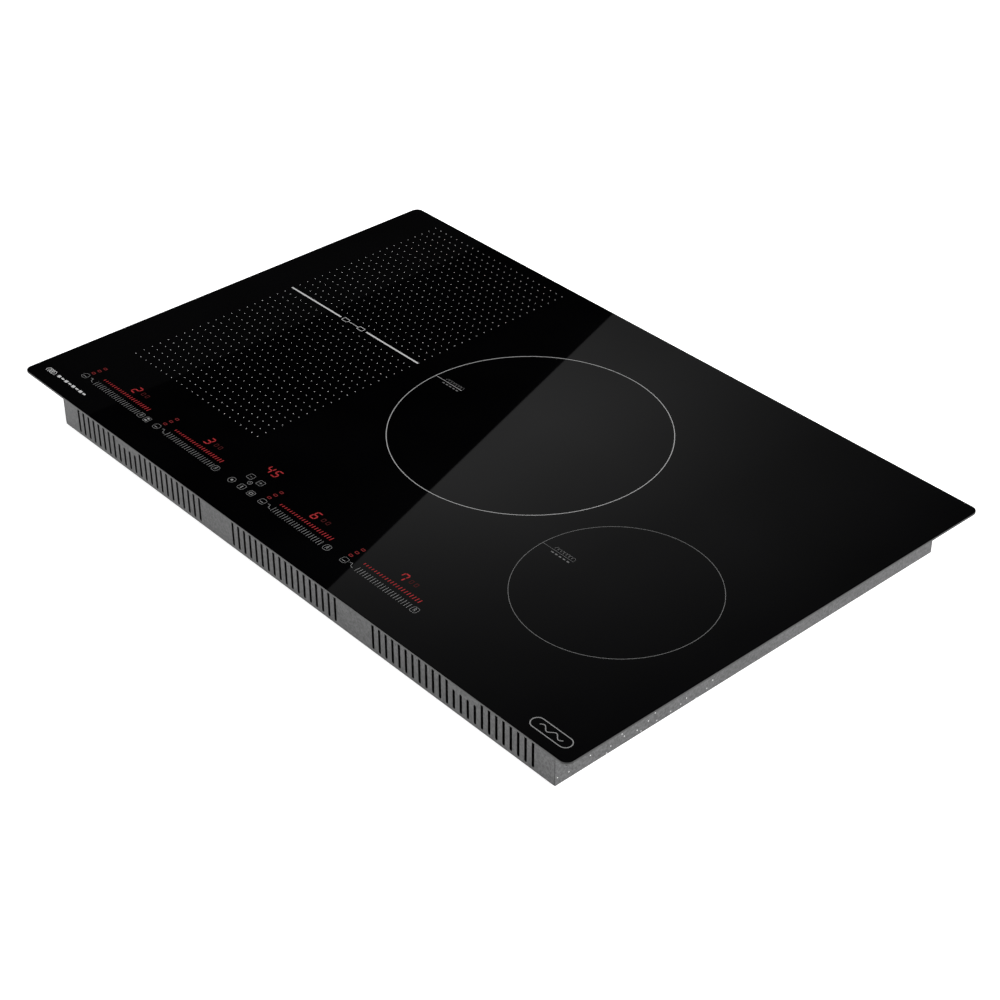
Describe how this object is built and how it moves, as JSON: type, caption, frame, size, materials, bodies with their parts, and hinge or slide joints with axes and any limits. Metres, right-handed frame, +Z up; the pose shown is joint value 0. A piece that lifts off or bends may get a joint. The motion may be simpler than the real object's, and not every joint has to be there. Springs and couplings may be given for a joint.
{
  "type": "induction cooktop",
  "caption": "Built-in induction cooktop: black ceramic glass on a slotted sheet-steel case, with coils, power boards, blowers and a hinged terminal cover.",
  "frame": {"origin": "on the plane that the case's pressed pads stand on, under the centre of the glass", "axes": "+X to the user's right, +Y to the rear, +Z up through the glass"},
  "size_m": [0.8, 0.52, 0.06],
  "materials": {
    "black_glass": "high-gloss black ceramic glass with ground edges",
    "foam": "matt closed-cell foam",
    "silicone": "satin cured silicone",
    "zinc_sheet": "satin zinc-coated sheet with fine grain",
    "plated_screw": "bright zinc plating",
    "aluminium_sheet": "mill-finish sheet",
    "extruded_aluminium": "plain extrusion",
    "coil_wire": "enamelled copper-clad aluminium strand wire",
    "coil_former": "glass-filled polyester",
    "ferrite": "sintered ferrite",
    "mica": "pressed mica sheet",
    "spring_steel": "stainless spring strip",
    "sensor": "white ceramic cap",
    "circuit_board": "green solder resist",
    "white_nylon": "natural nylon",
    "black_plastic": "fine-grained moulding",
    "chip_body": "moulded epoxy",
    "capacitor_case": "potted film capacitor case",
    "choke_wire": "enamelled copper wire on a ring core",
    "relay_case": "moulded cover",
    "terminal_body": "polyamide",
    "brass_terminal": "nickel-free brass",
    "gland_rubber": "soft black rubber",
    "white_enamel": "satin fired enamel print on the glass",
    "lamp_red": "red diffusing lamp cap",
    "ribbon": "grey flat cable",
    "lead_sleeve": "silicone sleeve"
  },
  "bodies": {
    "cooktop": {"base_tray": "zinc_sheet", "board_standoffs": "white_nylon", "cable_gland": "gland_rubber", "centre_coil_carrier": "coil_former", "centre_coil_mica": "mica", "centre_coil_winding": "coil_wire", "coil_leads": "lead_sleeve", "coil_plate": "aluminium_sheet", "coil_sensors": "sensor", "coil_springs": "spring_steel", "control_board": "circuit_board", "control_holder": "white_nylon", "cover_hinge_pin": "spring_steel", "digit_displays": "lamp_red", "ferrite_bars": "ferrite", "filter_board": "circuit_board", "filter_capacitors": "capacitor_case", "filter_choke": "choke_wire", "floor_screws": "plated_screw", "frame_screws": "plated_screw", "front_left_coil_carrier": "coil_former", "front_left_coil_mica": "mica", "front_left_coil_winding": "coil_wire", "front_panel": "zinc_sheet", "glass_plate": "black_glass", "left_capacitors": "capacitor_case", "left_choke": "choke_wire", "left_fan_housing": "black_plastic", "left_fan_motor": "aluminium_sheet", "left_heat_sink": "extruded_aluminium", "left_power_board": "circuit_board", "left_transistors": "chip_body", "level_displays": "lamp_red", "plate_posts": "plated_screw", "rear_left_coil_carrier": "coil_former", "rear_left_coil_mica": "mica", "rear_left_coil_winding": "coil_wire", "rear_panel": "zinc_sheet", "relays": "relay_case", "ribbon_cable": "ribbon", "right_capacitors": "capacitor_case", "right_choke": "choke_wire", "right_coil_carrier": "coil_former", "right_coil_mica": "mica", "right_coil_winding": "coil_wire", "right_fan_housing": "black_plastic", "right_fan_motor": "aluminium_sheet", "right_heat_sink": "extruded_aluminium", "right_power_board": "circuit_board", "right_transistors": "chip_body", "silicone_bead": "silicone", "support_frame": "zinc_sheet", "terminal_block": "terminal_body", "terminal_box": "black_plastic", "terminal_screws": "brass_terminal", "touch_springs": "spring_steel", "worktop_seal": "foam"},
    "left_rotor": {"left_fan_rotor": "black_plastic"},
    "right_rotor": {"right_fan_rotor": "black_plastic"},
    "cover": {"terminal_cover": "black_plastic"}
  },
  "joints": [
    {"name": "left_fan_spin", "type": "hinge", "parent": "cooktop", "child": "left_rotor", "pos_m": [-0.265, 0.15, 0.015], "axis": [0, 0, 1], "continuous": true},
    {"name": "right_fan_spin", "type": "hinge", "parent": "cooktop", "child": "right_rotor", "pos_m": [0.008, 0.15, 0.015], "axis": [0, 0, 1], "continuous": true},
    {"name": "terminal_cover_hinge", "type": "hinge", "parent": "cooktop", "child": "cover", "pos_m": [0.271, 0.1739, 0.003], "axis": [-1, 0, 0], "range_deg": [0, 100]}
  ]
}
